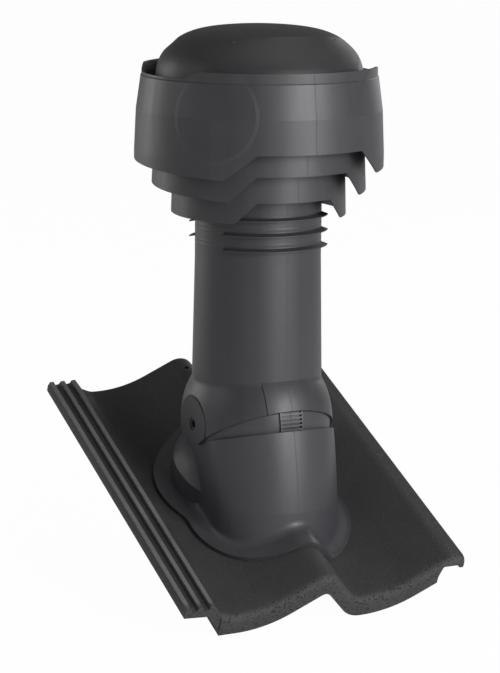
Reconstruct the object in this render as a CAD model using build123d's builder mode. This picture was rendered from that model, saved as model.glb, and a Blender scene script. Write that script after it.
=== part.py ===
from build123d import *
from math import asin, cos, degrees, radians, sin, tan
import os

# Roof tile vent, in millimetres. +Z is up, -Y is down the slope of the roof, X runs along the row of tiles.
# The origin is the middle of the fixing hole in the tile's crest, near the head of the tile.

# The roof and the tile. In the tile's own frame u runs across, v up the slope and w out of the roof.
roof_pitch = 23.05
tile_length = 420
tile_width = 330
side_lap = 30
rise_angle = 30.5
fall_angle = 49
crest_u = 2.7
crest_peak = 64.2
crest_round = 20
pan_level = 21.5
pan_flat = 1.5
foot_round = 17
tile_thick = 12.5
lap_level = 61.5
lap_round = 15
lap_hollow = 25
lap_roof = 8.9
lap_lip = 4.5
lap_drip = 3.6
underlock_width = 44
underlock_level = 37
underlock_plate = 7.5
wall_run = 12
wall_foot = 27
rib_height = 4
rib_width = 4.5
rib_gap = 13.5
rib_setback = 1.5
nose_drop = 8.5
nose_depth = 30
nose_round = 7.5
nib_width = 42
nib_depth = 16
nib_height = 15
nib_inset = 12
fixing_radius = 3
fixing_inset = 20
fixing_sink = 12

# The opening in the tile for the duct.
opening_back_radius = 70
opening_back_v = 8
opening_front_radius = 62
opening_front_v = -45

# The tilt axis, from the tile's middle.
axis_forward = 34.2
axis_height = 107.8

# The base.
base_wall = 2.5
flange_thick = 3
flange_back_radius = 104
flange_back_v = 5
flange_front_radius = 93
flange_front_v = -60
flange_waist = 40
flange_lip = 3
seal_thick = 1.5
seal_gap = 0.3
seal_seat = 0.1
collar_radius = 84
collar_v = 8
collar_level = 50
saddle_height = 14
skirt_levels = (62, 88)
skirt_half_length = 82
rim_y = -91
rim_z = 3.9
rim_angle = 15.9
rim_spare = 6
front_top_y = -90.5
front_mid_y = -103.6
front_low_y = -105.8
front_mid_z = -62
front_low_z = -84
front_run = 70
foot_rise = 60
foot_blend = 11
front_radius = 79.5
front_corner = 50
drum_top = 50

# The barrel that the ears, the shoulder and the drum share.
barrel_lift = 9
barrel_radius = 80.5
barrel_half = 77
shell_wall = 2.5
drum_gap = 0.4
flat_gap = 0.3
pivot_radius = 7.2
pivot_bore = 4.3
pivot_fit = 0.05
pivot_head_radius = 10.5
pivot_head = 2

# The raised front panel and the ladder pad under it.
panel_half = 27
panel_step = 1.3
panel_arc = 130
pad_half = 13.5
pad_frame = 1.2
pad_gap = 0.4
pad_recess = 3
pad_low = 4
pad_high = 44
pad_rib = 1.8
pad_rib_step = 4.2

# The outer pipe.
pipe_low_radius = 71.8
pipe_radius = 69.3
pipe_wall = 2.5
pipe_taper_low = 57
pipe_taper_high = 183
pipe_top = 285
neck_blend = 10
ear_boss = 1
ear_boss_radius = 30.5
ear_drop = 21
ear_half = 16
ear_lift = 4
edge_angle = 31.8
edge_round = 8
ring_reach = 7.2
ring_tip = 1.2
ring_root = 2.6
ring_swell = 0.15
ring_ease = 0.6
ring_slope = 1.4
ring_span = 114
ring_step = 16.55
front_ring_z = 198.6
front_ring_count = 3
back_ring_z = 203.2
back_ring_count = 2

# The duct and what centres it.
duct_radius = 50
duct_wall = 2.5
duct_low = -118
duct_top = 300
bead_height = 1.6
bead_width = 4
bead_step = 14
collar_reach = 4
collar_thick = 3
fit_gap = 0.3
lower_ring_z = 69
upper_ring_z = 250
ring_height = 9
ring_hole = 5
ring_holes = 8

# The hood.
inner_radius = 95.7
inner_lobe = 232
inner_arch = 253.2
middle_radius = 117
middle_lobe = 262
middle_arch = 283.6
outer_radius = 136
outer_lobe = 288
outer_arch = 308.6
hood_wall = 2.5
skirt_lean = 2.5
arch_angle = 27
lobe_angle = 42
lobe_tilt = 3.5
inner_lobe_tilt = 1
lobe_spare = 12
outer_knee_z = 300
outer_mid_z = 345
outer_mid_inset = 2
outer_shoulder_z = 381
outer_shoulder_inset = 7
rim_inset = 8
rim_top = 392.4
notch_depth = 8
notch_half = 52
notch_slope = 20
fin_z = 318
fin_height = 22
fin_thick = 3
fin_angle = 47
socket_low = 258
socket_wall = 2.5

# The dome.
dome_radius = 114
dome_low = 378
dome_side_z = 400
dome_side_inset = 6
dome_shoulder_z = 419.8
dome_shoulder_radius = 89.5
dome_crown_radius = 43
dome_crown_drop = 2
dome_top = 435.5
dome_wall = 2.5
shoulder_in = 0.6
shoulder_down = 0.8
facet_crease = 76
facet_drop = 8.6
facet_inset = 6
facet_centre = 16.3
post_radius = 5
post_bury = 2
post_ring = 80
post_screw_radius = 1.9
post_screw_depth = 16
post_screw_head = 3.8
post_screw_head_height = 2.4
post_screw_fit = 0.1
post_screw_tip = 2

# Directions and planes. The tile lies on the slope, the head stands upright on the tilt axis.
slope = Vector(0, cos(radians(roof_pitch)), sin(radians(roof_pitch)))
outward = Vector(0, -sin(radians(roof_pitch)), cos(radians(roof_pitch)))
fixing_v = tile_length / 2 - fixing_inset
tile_middle = slope * -fixing_v + outward * (fixing_sink - crest_peak)
pivot = tile_middle + Vector(0, -axis_forward, axis_height)
tile_plan = Plane(origin=tile_middle, x_dir=(1, 0, 0), z_dir=outward)
tile_end = Plane(origin=tile_middle - slope * (tile_length / 2), x_dir=(1, 0, 0), z_dir=-slope)
head_plan = Plane(origin=pivot, x_dir=(1, 0, 0), z_dir=(0, 0, 1))
head_front = Plane(origin=pivot, x_dir=(1, 0, 0), z_dir=(0, -1, 0))
head_side = Plane(origin=pivot, x_dir=(0, 1, 0), z_dir=(1, 0, 0))
tilt_axis = Axis(pivot, (1, 0, 0))
pipe_axis = Axis(pivot, (0, 0, 1))


def radial(angle):
    """The upright plane through the pipe's axis, at an angle round from the front."""
    out = Vector(sin(radians(angle)), -cos(radians(angle)), 0)
    return Plane(origin=pivot, x_dir=out, z_dir=out.cross(Vector(0, 0, 1)))


def lean(angle):
    """The plane through the tilt axis, at an angle from upright towards the front."""
    up = Vector(0, -sin(radians(angle)), cos(radians(angle)))
    return Plane(origin=pivot, x_dir=(1, 0, 0), z_dir=Vector(1, 0, 0).cross(up))


# The wave of the tile, as corners and radii of a curve parallel to its top face.
wave_pitch = (tile_width - side_lap) / 2
rise = tan(radians(rise_angle))
fall = tan(radians(fall_angle))
rise_stretch = 1 / cos(radians(rise_angle))
fall_stretch = 1 / cos(radians(fall_angle))
pan_floor = (pan_level - crest_peak) / rise + wave_pitch - (crest_peak - pan_level) / fall
pan_round = (pan_floor - pan_flat) / tan(radians(rise_angle / 2))
pan_round = pan_round - foot_round * tan(radians(fall_angle / 2)) / tan(radians(rise_angle / 2))


def rise_at(u, level):
    """The height of the first gentle rise over u, on a curve parallel to the top face."""
    return crest_peak + (u - crest_u) * rise + level * rise_stretch


def wave(level):
    """Corners of the wave from the first pan to the second rise, with their radii."""
    floor = pan_level + level
    foot_1 = crest_u + (floor - crest_peak - level * rise_stretch) / rise
    peak = level * (fall_stretch - rise_stretch) / (rise + fall)
    foot_2 = crest_u - (floor - crest_peak - level * fall_stretch) / fall
    corners = [(foot_1, floor), (crest_u + peak, rise_at(crest_u + peak, level))]
    corners += [(foot_2, floor), (foot_1 + wave_pitch, floor)]
    return corners, [pan_round - level, crest_round + level, foot_round - level, pan_round - level]


# The tile. Its body carries the pans, the crest and the cover lap, and the underlock lies beside it.
tile_left = -tile_width / 2
tile_right = tile_width / 2
wall_u = tile_left + underlock_width
lap_corner = crest_u + wave_pitch + (lap_level - crest_peak) / rise
lap_wall = tile_right - lap_hollow
lap_under = lap_level - lap_roof
tip_under = lap_under - lap_drip
top_corners, top_radii = wave(0)
under_corners, under_radii = wave(-tile_thick)
under_wall_w = rise_at(lap_wall - lap_drip - wave_pitch, -tile_thick)

body_corners = [(wall_u, wall_foot), (wall_u + wall_run, pan_level)] + top_corners
body_corners += [(lap_corner, lap_level), (tile_right, lap_level), (tile_right, tip_under)]
body_corners += [(tile_right - lap_lip, tip_under), (tile_right - lap_lip - lap_drip, lap_under)]
body_corners += [(lap_wall, lap_under), (lap_wall - lap_drip, under_wall_w)]
body_corners += under_corners[::-1] + [(wall_u, pan_level - tile_thick)]
body_radii = [0, foot_round] + top_radii + [lap_round, 0, 1, 1, 1, 2, 0] + under_radii[::-1] + [0]

# The nose hangs lower than the plate behind it.
nose_top = [(wall_u, pan_level - nose_drop)] + [(u, w + nose_drop / 2) for u, w in under_corners]
nose_top += [(lap_wall - lap_drip, under_wall_w + nose_drop / 2)]
nose_under = [(lap_wall - lap_drip, under_wall_w - nose_drop)]
nose_under += [(u, w - nose_drop) for u, w in under_corners[::-1]]
nose_under += [(wall_u, pan_level - tile_thick - nose_drop)]
nose_corners = nose_top + nose_under
nose_radii = [0] + under_radii + [0, 0] + under_radii[::-1] + [0]

# The underlock: three ribs with grooves, and the wall down to the first pan.
rib_top = underlock_level + rib_height
under_left = underlock_level - underlock_plate
rib_corners = [(tile_left, underlock_level - 1)]
for rib in range(3):
    rib_left = tile_left + 2 + rib * rib_gap
    rib_corners += [(rib_left, rib_top), (rib_left + rib_width, rib_top)]
    rib_corners += [(rib_left + rib_width + 2, underlock_level - 1)]
    rib_corners += [(rib_left + rib_gap - 2, underlock_level)]
rib_corners = rib_corners[:-2] + [(wall_u, wall_foot), (wall_u, pan_level - tile_thick)]
rib_corners += [(wall_u - 6, pan_level - tile_thick + 4), (wall_u - 15, under_left - 2)]
rib_corners += [(tile_left, under_left)]

nib_u = wall_u + wall_run + nib_width / 2 - foot_round / 2
nib_v = tile_length / 2 - nib_inset - nib_depth / 2

with BuildPart() as roof_tile:
    with BuildSketch(tile_end):
        with BuildLine():
            FilletPolyline(*body_corners, radius=body_radii, close=True)
        make_face()
    extrude(amount=-tile_length)
    with BuildSketch(tile_end):
        with BuildLine():
            FilletPolyline(*nose_corners, radius=nose_radii, close=True)
        make_face()
    extrude(amount=-nose_depth)
    nose_face = roof_tile.faces().sort_by(Axis(tile_middle, slope))[0]
    top_faces = ShapeList([f for f in roof_tile.faces() if f.normal_at().dot(outward) > 0.5])
    fillet((nose_face.edges() & top_faces.edges()).sort_by(Axis.X), radius=nose_round)
    with BuildSketch(tile_end.offset(-rib_setback)):
        with BuildLine():
            Polyline(*rib_corners, close=True)
        make_face()
    extrude(amount=-(tile_length - rib_setback))
    with BuildSketch(tile_plan.offset(pan_level - tile_thick)):
        with Locations((nib_u, nib_v), (nib_u + wave_pitch, nib_v)):
            Rectangle(nib_width, nib_depth)
    extrude(amount=-nib_height)
    with BuildSketch(tile_plan):
        with Locations((0, opening_back_v)):
            Circle(opening_back_radius)
        with Locations((0, opening_front_v)):
            Circle(opening_front_radius)
        with Locations((0, fixing_v)):
            Circle(fixing_radius)
    extrude(amount=crest_peak + 5, mode=Mode.SUBTRACT)
roof_tile.part.label = "roof_tile"


def wave_band(low, high, reach):
    """A band that follows the wave between two heights, as wide as the reach on both sides."""
    low_corners, low_radii = wave(low)
    high_corners, high_radii = wave(high)
    corners = [(-reach, pan_level + low)] + low_corners + [(reach, rise_at(reach - wave_pitch, low))]
    corners += [(reach, rise_at(reach - wave_pitch, high))]
    corners += high_corners[::-1] + [(-reach, pan_level + high)]
    with BuildPart() as band:
        with BuildSketch(tile_end):
            with BuildLine():
                FilletPolyline(*corners, radius=[0] + low_radii + [0, 0] + high_radii[::-1] + [0], close=True)
            make_face()
        extrude(amount=-tile_length)
    return band.part


def under_wave(level, reach):
    """Everything under the wave at one height, down to well below the tile."""
    high_corners, high_radii = wave(level)
    corners = [(-reach, -tile_length), (reach, -tile_length), (reach, rise_at(reach - wave_pitch, level))]
    corners += high_corners[::-1] + [(-reach, pan_level + level)]
    with BuildPart() as ground:
        with BuildSketch(tile_end):
            with BuildLine():
                FilletPolyline(*corners, radius=[0, 0, 0] + high_radii[::-1] + [0], close=True)
            make_face()
        extrude(amount=-tile_length)
    return ground.part


def footprint(inset):
    """The outline of the base on the tile, two circles with rounded waists."""
    with BuildSketch(tile_plan) as outline:
        with Locations((0, flange_back_v)):
            Circle(flange_back_radius - inset)
        with Locations((0, flange_front_v)):
            Circle(flange_front_radius - inset)
        offset(amount=flange_waist)
        offset(amount=-(flange_waist + inset))
    return outline.sketch


def barrel(skin, half):
    """A barrel about the tilt axis: an arc along it, and flat ends."""
    with BuildPart() as cask:
        with BuildSketch(head_front):
            with Locations((0, barrel_lift)):
                Circle(skin)
            Rectangle(2 * half, 2 * skin, align=(Align.CENTER, Align.MIN), mode=Mode.INTERSECT)
        revolve(axis=tilt_axis)
    return cask.part


def front_outline(level, front_y, inset):
    """One level section of the front: a circle cut by the flat sides, with eased corners."""
    with BuildSketch(head_plan.offset(level)) as section:
        with Locations((0, front_y + front_radius)):
            Circle(front_radius - inset)
            Rectangle(2 * (drum_half - inset), 2 * front_radius, mode=Mode.INTERSECT)
        fillet(section.vertices(), front_corner - inset)
    return section.sketch


def front_body(inset):
    """The front of the base, drawn in by an inset: it leans up to its rim and stands upright below."""
    rim = Plane(origin=pivot + Vector(0, rim_y, rim_z - inset), x_dir=(1, 0, 0), z_dir=rim_normal)
    places = ((rim_z + rim_spare, front_top_y), (front_mid_z, front_mid_y), (front_low_z, front_low_y))
    with BuildPart() as leaning:
        loft([front_outline(level, front_y, inset) for level, front_y in places])
        extrude(front_outline(front_low_z, front_low_y, inset), amount=front_run, dir=(0, 0, -1))
        split(bisect_by=rim, keep=Keep.BOTTOM)
    return leaning.part


def skirt(inset):
    """The smooth shelf between the collar's edge and the flat sides of the drum."""
    low_half = collar_radius - inset
    with BuildPart() as shelf:
        with BuildSketch(tile_plan.offset(collar_level - inset)):
            with Locations((0, collar_v)):
                RectangleRounded(2 * low_half, 2 * low_half, low_half - 1)
        for level, half in zip(skirt_levels, skirt_halves):
            with BuildSketch(tile_plan.offset(level - inset)):
                with Locations((0, collar_v)):
                    RectangleRounded(2 * (half - inset), 2 * (skirt_half_length - inset), half - inset - 1)
        loft()
    return shelf.part


# The drum and the flat sides of the base, inside the ears.
drum_radius = barrel_radius - shell_wall - drum_gap
drum_half = barrel_half - shell_wall - flat_gap
rim_normal = Vector(0, sin(radians(rim_angle)), cos(radians(rim_angle)))
skirt_halves = (drum_half + 3, drum_half)
collar_inner = collar_radius - base_wall
below_flange = under_wave(seal_gap, tile_width / 2)
flange_band = wave_band(seal_gap, seal_thick + flange_thick, tile_width / 2)
saddle_band = wave_band(seal_gap, saddle_height, tile_width / 2)
saddle_hollow = wave_band(seal_gap, saddle_height - base_wall, tile_width / 2)
seal_band = wave_band(seal_seat, seal_thick, tile_width / 2)
seal_bed = wave_band(-1, seal_thick, tile_width / 2)

with BuildPart() as crest_saddle:
    add(saddle_band)
    with BuildSketch(tile_plan):
        with Locations((0, collar_v)):
            Circle(collar_radius)
    extrude(amount=crest_peak + saddle_height, mode=Mode.INTERSECT)

with BuildPart() as saddle_room:
    add(saddle_hollow)
    with BuildSketch(tile_plan):
        with Locations((0, collar_v)):
            Circle(collar_inner)
    extrude(amount=crest_peak + saddle_height, mode=Mode.INTERSECT)

with BuildPart() as flange:
    add(flange_band)
    extrude(footprint(0), amount=crest_peak + saddle_height, dir=outward, mode=Mode.INTERSECT)

with BuildPart() as seal_recess:
    add(seal_bed)
    extrude(footprint(flange_lip), amount=crest_peak + saddle_height, dir=outward, mode=Mode.INTERSECT)

# The foot of the front, blended into the flange all round.
with BuildPart() as front_foot:
    foot_outline = front_outline(front_low_z + foot_rise, front_low_y, 0)
    extrude(foot_outline, amount=foot_rise + front_run, dir=(0, 0, -1))
    add(below_flange, mode=Mode.SUBTRACT)
    add(flange.part)
    upright = [f for f in front_foot.faces() if abs(f.normal_at().Z) < 0.01]
    walls = ShapeList([f for f in upright if abs(f.center().X) < drum_half + 1])
    sloping = [f for f in front_foot.faces() if f.normal_at().Z < 0.99]
    tops = ShapeList([f for f in sloping if f.normal_at().dot(outward) > 0.5])
    fillet((walls.edges() & tops.edges()).sort_by(Axis.X), radius=foot_blend)
    split(bisect_by=head_plan.offset(front_low_z), keep=Keep.BOTTOM)
    add(flange.part)

outer_front = front_body(0)
inner_front = front_body(base_wall)
outer_skirt = skirt(0)
inner_skirt = skirt(base_wall)
outer_drum = barrel(drum_radius, drum_half)
inner_drum = barrel(drum_radius - base_wall, drum_half - base_wall)

with BuildPart() as flange_seal:
    add(seal_band)
    seal_reach = crest_peak + saddle_height
    extrude(footprint(flange_lip + seal_gap), amount=seal_reach, dir=outward, mode=Mode.INTERSECT)
    with BuildSketch(tile_plan):
        with Locations((0, opening_back_v)):
            Circle(collar_inner)
        with Locations((0, opening_front_v)):
            Circle(opening_front_radius + flange_lip)
    extrude(amount=crest_peak + saddle_height, mode=Mode.SUBTRACT)
flange_seal.part.label = "flange_seal"

# The ladder pad on the drum, under the raised panel. Its grooves are cut in the base further down.
panel_inner = barrel_lift + barrel_radius + panel_step - shell_wall
pad_radius = panel_inner - pad_gap
pad_start = 90 - degrees(asin(pad_high / pad_radius))
pad_end = 90 - degrees(asin(pad_low / pad_radius))
pad_turn = degrees(pad_rib_step / pad_radius)
pad_ribs = int((pad_end - pad_start) / pad_turn)

with BuildPart() as ladder_pad:
    with BuildSketch(lean(pad_start)):
        with Locations((0, drum_radius - base_wall / 2)):
            Rectangle(2 * pad_half, pad_radius - drum_radius + base_wall / 2, align=(Align.CENTER, Align.MIN))
    revolve(axis=tilt_axis, revolution_arc=pad_end - pad_start)

with BuildPart() as base_cone:
    add(outer_drum)
    add(outer_front)
    add(outer_skirt)
    with BuildSketch(tile_plan):
        with Locations((0, collar_v)):
            Circle(collar_radius)
    extrude(amount=collar_level)
    add(crest_saddle.part)
    add(below_flange, mode=Mode.SUBTRACT)
    add(front_foot.part)
    add(inner_drum, mode=Mode.SUBTRACT)
    add(inner_front, mode=Mode.SUBTRACT)
    add(inner_skirt, mode=Mode.SUBTRACT)
    with BuildSketch(tile_plan):
        with Locations((0, collar_v)):
            Circle(collar_inner)
    extrude(amount=collar_level - base_wall, mode=Mode.SUBTRACT)
    add(saddle_room.part, mode=Mode.SUBTRACT)
    add(seal_recess.part, mode=Mode.SUBTRACT)
    add(ladder_pad.part)
    for rib in range(1, pad_ribs):
        with BuildSketch(lean(pad_start + rib * pad_turn)):
            with Locations((0, pad_radius - pad_recess)):
                Rectangle(2 * (pad_half - pad_frame), 2 * pad_recess, align=(Align.CENTER, Align.MIN))
        revolve(axis=tilt_axis, revolution_arc=pad_turn - degrees(pad_rib / pad_radius), mode=Mode.SUBTRACT)
    split(bisect_by=head_plan.offset(drum_top), keep=Keep.BOTTOM)
    with BuildSketch(head_side):
        Circle(pivot_radius + pivot_fit)
    extrude(amount=barrel_half, both=True, mode=Mode.SUBTRACT)
base_cone.part.label = "base_cone"

# The hollow pins of the tilt axis, each with a head inside the drum.
ear_inner = barrel_half - shell_wall
drum_inner_half = drum_half - base_wall

with BuildPart() as pivot_bush_left:
    with BuildSketch(head_side.offset(-drum_inner_half)):
        Circle(pivot_radius)
        Circle(pivot_bore, mode=Mode.SUBTRACT)
    extrude(amount=-(barrel_half - drum_inner_half))
    with BuildSketch(head_side.offset(-drum_inner_half)):
        Circle(pivot_head_radius)
        Circle(pivot_bore, mode=Mode.SUBTRACT)
    extrude(amount=pivot_head)
pivot_bush_left.part.label = "pivot_bush_left"

with BuildPart() as pivot_bush_right:
    add(mirror(pivot_bush_left.part, about=head_side, mode=Mode.PRIVATE))
pivot_bush_right.part.label = "pivot_bush_right"

# The outer pipe: the barrel of the ears and shoulder, the raised panel and the pipe above it.
# The lower edge cuts it off in front and behind.
ear_low = -ear_drop
edge_rise = tan(radians(edge_angle))
edge_reach = 2 * barrel_radius
front_ear = -(ear_half - edge_round / 2)
back_ear = 2 * ear_half
front_edge_z = ear_low + (edge_reach + front_ear) * edge_rise
back_edge_z = ear_low + ear_lift + (edge_reach - back_ear) * edge_rise
bore_radius = pipe_radius - pipe_wall
bore_corners = [(0, 0), (pipe_low_radius - pipe_wall, 0), (pipe_low_radius - pipe_wall, pipe_taper_low)]
bore_corners += [(bore_radius, pipe_taper_high), (bore_radius, pipe_top + 1), (0, pipe_top + 1)]
edge_corners = [(-edge_reach, front_edge_z), (front_ear, ear_low), (back_ear, ear_low + ear_lift)]
edge_corners += [(edge_reach, back_edge_z), (edge_reach, -edge_reach), (-edge_reach, -edge_reach)]
edge_radii = [0, edge_round, 2 * edge_round, 0, 0, 0]
ring_corners = [(pipe_radius - 1, 0), (pipe_radius + ring_reach, -ring_slope)]
ring_corners += [(pipe_radius + ring_reach, ring_tip - ring_slope), (pipe_radius - 1, ring_root)]
ring_places = [(-ring_span / 2, front_ring_z + step * ring_step) for step in range(front_ring_count)]
ring_places += [(180 - ring_span / 2, back_ring_z + step * ring_step) for step in range(back_ring_count)]
pipe_corners = [(0, 0), (pipe_low_radius, 0), (pipe_low_radius, pipe_taper_low)]
pipe_corners += [(pipe_radius, pipe_taper_high)]
for start, foot in sorted(ring_places, key=lambda place: place[1]):
    pipe_corners += [(pipe_radius, foot - ring_ease), (pipe_radius + ring_swell, foot + ring_root / 2)]
    pipe_corners += [(pipe_radius, foot + ring_root + ring_ease)]
pipe_corners += [(pipe_radius, pipe_top), (0, pipe_top)]


def pipe_bore(height):
    """The inner radius of the tapered pipe at a height above the tilt axis."""
    share = (height - pipe_taper_low) / (pipe_taper_high - pipe_taper_low)
    return pipe_low_radius - pipe_wall + (pipe_radius - pipe_low_radius) * min(max(share, 0), 1)


outer_barrel = barrel(barrel_radius, barrel_half)
inner_barrel = barrel(barrel_radius - shell_wall, ear_inner)

with BuildPart() as outer_pipe:
    add(outer_barrel)
    with BuildSketch(head_front):
        with BuildLine():
            Polyline(*pipe_corners, close=True)
        make_face()
    revolve(axis=pipe_axis)
    fillet(outer_pipe.edges().filter_by(GeomType.BSPLINE), radius=neck_blend)
    with BuildSketch(lean(0)):
        with Locations((0, barrel_lift)):
            Circle(barrel_radius + panel_step)
        with Locations((0, barrel_lift + barrel_radius)):
            Rectangle(2 * panel_half, 2 * barrel_radius, mode=Mode.INTERSECT)
    revolve(axis=tilt_axis, revolution_arc=panel_arc)
    with BuildSketch(head_side):
        Circle(ear_boss_radius)
    extrude(amount=barrel_half + ear_boss, both=True)
    add(inner_barrel, mode=Mode.SUBTRACT)
    with BuildSketch(lean(0)):
        Rectangle(2 * (pad_half + pad_gap), panel_inner, align=(Align.CENTER, Align.MIN))
    revolve(axis=tilt_axis, revolution_arc=panel_arc, mode=Mode.SUBTRACT)
    with BuildSketch(head_front):
        with BuildLine():
            Polyline(*bore_corners, close=True)
        make_face()
    revolve(axis=pipe_axis, mode=Mode.SUBTRACT)
    with BuildSketch(head_side):
        with BuildLine():
            FilletPolyline(*edge_corners, radius=edge_radii, close=True)
        make_face()
    extrude(amount=edge_reach, both=True, mode=Mode.SUBTRACT)
    with BuildSketch(head_side):
        Circle(pivot_radius + pivot_fit)
    extrude(amount=edge_reach, both=True, mode=Mode.SUBTRACT)
    for start, foot in ring_places:
        with BuildSketch(radial(start)):
            with BuildLine():
                Polyline(*[(r, foot + z) for r, z in ring_corners], close=True)
            make_face()
        revolve(axis=pipe_axis, revolution_arc=ring_span)
outer_pipe.part.label = "outer_pipe"

# The duct, with beads for the hose at its foot and a collar that rests on the upper ring.
upper_ring_top = upper_ring_z + ring_height

with BuildPart() as inner_duct:
    with BuildSketch(head_plan.offset(duct_low)):
        Circle(duct_radius)
        Circle(duct_radius - duct_wall, mode=Mode.SUBTRACT)
    extrude(amount=duct_top - duct_low)
    for bead in range(2):
        with BuildSketch(head_plan.offset(duct_low + bead_width + bead * bead_step)):
            Circle(duct_radius + bead_height)
            Circle(duct_radius - duct_wall, mode=Mode.SUBTRACT)
        extrude(amount=bead_width)
    with BuildSketch(head_plan.offset(upper_ring_top)):
        Circle(duct_radius + collar_reach)
        Circle(duct_radius - duct_wall, mode=Mode.SUBTRACT)
    extrude(amount=collar_thick)
    bead_edges = inner_duct.edges().filter_by(GeomType.CIRCLE).group_by(SortBy.RADIUS)[-2]
    fillet(bead_edges, radius=bead_height / 2)
inner_duct.part.label = "inner_duct"

# The centring rings, and the insulation between them.
with BuildPart() as lower_ring:
    with BuildSketch(head_plan.offset(lower_ring_z)):
        Circle(pipe_bore(lower_ring_z + ring_height) - fit_gap)
        Circle(duct_radius + fit_gap, mode=Mode.SUBTRACT)
        with PolarLocations((pipe_bore(lower_ring_z + ring_height) + duct_radius) / 2, ring_holes):
            Circle(ring_hole, mode=Mode.SUBTRACT)
    extrude(amount=ring_height)
lower_ring.part.label = "lower_ring"

with BuildPart() as upper_ring:
    with BuildSketch(head_plan.offset(upper_ring_z)):
        Circle(pipe_bore(upper_ring_top) - fit_gap)
        Circle(duct_radius + fit_gap, mode=Mode.SUBTRACT)
        with PolarLocations((pipe_bore(upper_ring_top) + duct_radius) / 2, ring_holes):
            Circle(ring_hole, mode=Mode.SUBTRACT)
    extrude(amount=ring_height)
upper_ring.part.label = "upper_ring"

with BuildPart() as insulation:
    with BuildSketch(head_plan.offset(lower_ring_z + ring_height)):
        Circle(pipe_bore(upper_ring_z) - fit_gap)
        Circle(duct_radius + fit_gap, mode=Mode.SUBTRACT)
    extrude(amount=upper_ring_z - lower_ring_z - ring_height)
insulation.part.label = "insulation"


def hood_ring(radius, lobe, arch, tilt, outline):
    """One ring of the hood: a thin skirt with tilted lobes at the sides and arches at the front and back."""
    high_half = radius * sin(radians(arch_angle))
    low_half = radius * sin(radians(lobe_angle))
    lobe_front = lobe - radius * cos(radians(lobe_angle)) * tan(radians(tilt))
    lobe_edge = Plane(origin=pivot + Vector(0, 0, lobe), z_dir=(0, -sin(radians(tilt)), cos(radians(tilt))))
    arch_corners = [(-high_half, arch), (high_half, arch), (low_half, lobe_front)]
    arch_corners += [(low_half, lobe - 2 * lobe_spare), (-low_half, lobe - 2 * lobe_spare)]
    arch_corners += [(-low_half, lobe_front)]
    foot = [(radius, lobe - lobe_spare)]
    back_outline = [(r - hood_wall, z) for r, z in reversed(foot + outline)]
    with BuildPart() as ring:
        with BuildSketch(head_front):
            with BuildLine():
                Polyline(*foot, *outline, *back_outline, close=True)
            make_face()
        revolve(axis=pipe_axis)
        split(bisect_by=lobe_edge, keep=Keep.TOP)
        with BuildSketch(head_front):
            with BuildLine():
                Polyline(*arch_corners, close=True)
            make_face()
        extrude(amount=2 * radius, both=True, mode=Mode.SUBTRACT)
    return ring.part


# The rings of the hood hang from the fins of the carrier.
inner_outline = [(inner_radius, inner_lobe), (inner_radius - skirt_lean, fin_z)]
middle_outline = [(middle_radius, middle_lobe), (middle_radius - skirt_lean, fin_z)]
outer_outline = [(outer_radius, outer_lobe), (outer_radius, outer_knee_z)]
outer_outline += [(outer_radius - outer_mid_inset, outer_mid_z)]
outer_outline += [(outer_radius - outer_shoulder_inset, outer_shoulder_z)]
outer_outline += [(outer_radius - rim_inset, outer_shoulder_z + 1), (outer_radius - rim_inset, rim_top)]

notch_end = notch_half + notch_slope
notch_low = rim_top - notch_depth
notch_high = rim_top + notch_depth
notch_corners = [(-notch_half, notch_low), (notch_half, notch_low), (notch_end, rim_top)]
notch_corners += [(notch_end, notch_high), (-notch_end, notch_high), (-notch_end, rim_top)]

with BuildPart() as hood_inner_ring:
    add(hood_ring(inner_radius, inner_lobe, inner_arch, inner_lobe_tilt, inner_outline))
hood_inner_ring.part.label = "hood_inner_ring"

with BuildPart() as hood_middle_ring:
    add(hood_ring(middle_radius, middle_lobe, middle_arch, lobe_tilt, middle_outline))
hood_middle_ring.part.label = "hood_middle_ring"

with BuildPart() as hood_outer_ring:
    add(hood_ring(outer_radius, outer_lobe, outer_arch, lobe_tilt, outer_outline))
    with BuildSketch(head_side):
        with BuildLine():
            Polyline(*notch_corners, close=True)
        make_face()
    extrude(amount=2 * outer_radius, both=True, mode=Mode.SUBTRACT)
hood_outer_ring.part.label = "hood_outer_ring"

# The carrier: a socket on the pipe's top, with fins for the rings.
socket_radius = pipe_radius + fit_gap
neck_radius = pipe_radius - pipe_wall
fin_top = fin_z + fin_height
fin_reach = outer_radius - outer_mid_inset - hood_wall - fit_gap
fin_angles = (fin_angle, 180 - fin_angle, 180 + fin_angle, -fin_angle)
post_places = [(post_ring * sin(radians(a)), -post_ring * cos(radians(a))) for a in fin_angles]

with BuildPart() as hood_carrier:
    with BuildSketch(head_plan.offset(socket_low)):
        Circle(socket_radius + socket_wall)
    extrude(amount=fin_top - socket_low)
    for side in fin_angles:
        with BuildSketch(radial(side)):
            with Locations((socket_radius, fin_z)):
                Rectangle(fin_reach - socket_radius, fin_height, align=Align.MIN)
        extrude(amount=fin_thick / 2, both=True)
    with BuildSketch(head_plan.offset(fin_z)):
        with Locations(*post_places):
            Circle(post_radius)
    extrude(amount=fin_height)
    with BuildSketch(head_plan.offset(socket_low)):
        Circle(socket_radius)
    extrude(amount=pipe_top - socket_low, mode=Mode.SUBTRACT)
    with BuildSketch(head_plan.offset(pipe_top)):
        Circle(neck_radius)
    extrude(amount=fin_top - pipe_top, mode=Mode.SUBTRACT)
    with BuildSketch(head_plan.offset(fin_z)):
        with Locations(*post_places):
            Circle(post_screw_radius + post_screw_fit)
    extrude(amount=fin_height, mode=Mode.SUBTRACT)
hood_carrier.part.label = "hood_carrier"

# The dome: a round cap with a facet at the front and one at the back, and four posts down to the fins.
side_radius = dome_radius - dome_side_inset
crease_z = dome_top - facet_drop
facet_reach = dome_radius + facet_centre + 1
post_height = dome_shoulder_z + post_bury - fin_top


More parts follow.
